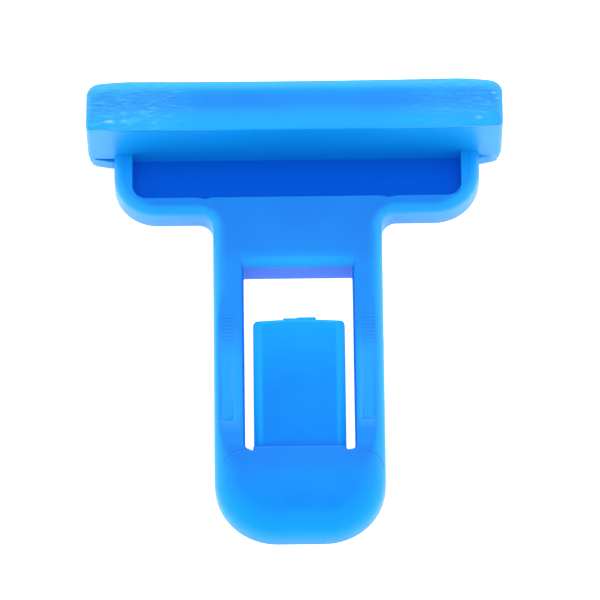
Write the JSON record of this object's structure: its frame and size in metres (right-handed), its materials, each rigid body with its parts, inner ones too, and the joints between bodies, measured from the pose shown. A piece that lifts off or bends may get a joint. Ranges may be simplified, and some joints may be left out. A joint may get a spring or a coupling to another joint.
{
  "type": "clothespin",
  "caption": "One-piece moulded T-shaped spring clip: a deep crossbar over a shallow pocket, a stem with a window, a spring tongue in the window and a rounded thumb pad.",
  "frame": {"origin": "centre of the outline, on the back face", "axes": "+X along the crossbar, +Y from the thumb pad to the crossbar, +Z out of the front"},
  "size_m": [0.045, 0.0508, 0.0095],
  "materials": {
    "moulded_polypropylene": "satin moulded polypropylene, slightly translucent"
  },
  "bodies": {
    "frame": {"crossbar": "moulded_polypropylene", "lower_rim": "moulded_polypropylene", "left_rim_arm": "moulded_polypropylene", "right_rim_arm": "moulded_polypropylene", "pocket_floor": "moulded_polypropylene", "stem_web": "moulded_polypropylene", "left_leg": "moulded_polypropylene", "right_leg": "moulded_polypropylene", "thumb_pad": "moulded_polypropylene"},
    "tongue": {"tongue_root": "moulded_polypropylene", "spring_tongue": "moulded_polypropylene", "gate_stub": "moulded_polypropylene"}
  },
  "joints": [
    {"name": "tongue_flex", "type": "hinge", "parent": "frame", "child": "tongue", "pos_m": [0, -0.01525, 0.00125], "axis": [1, 0, 0], "range_deg": [-6, 15], "stiffness_Nm_per_rad": 0.9}
  ]
}
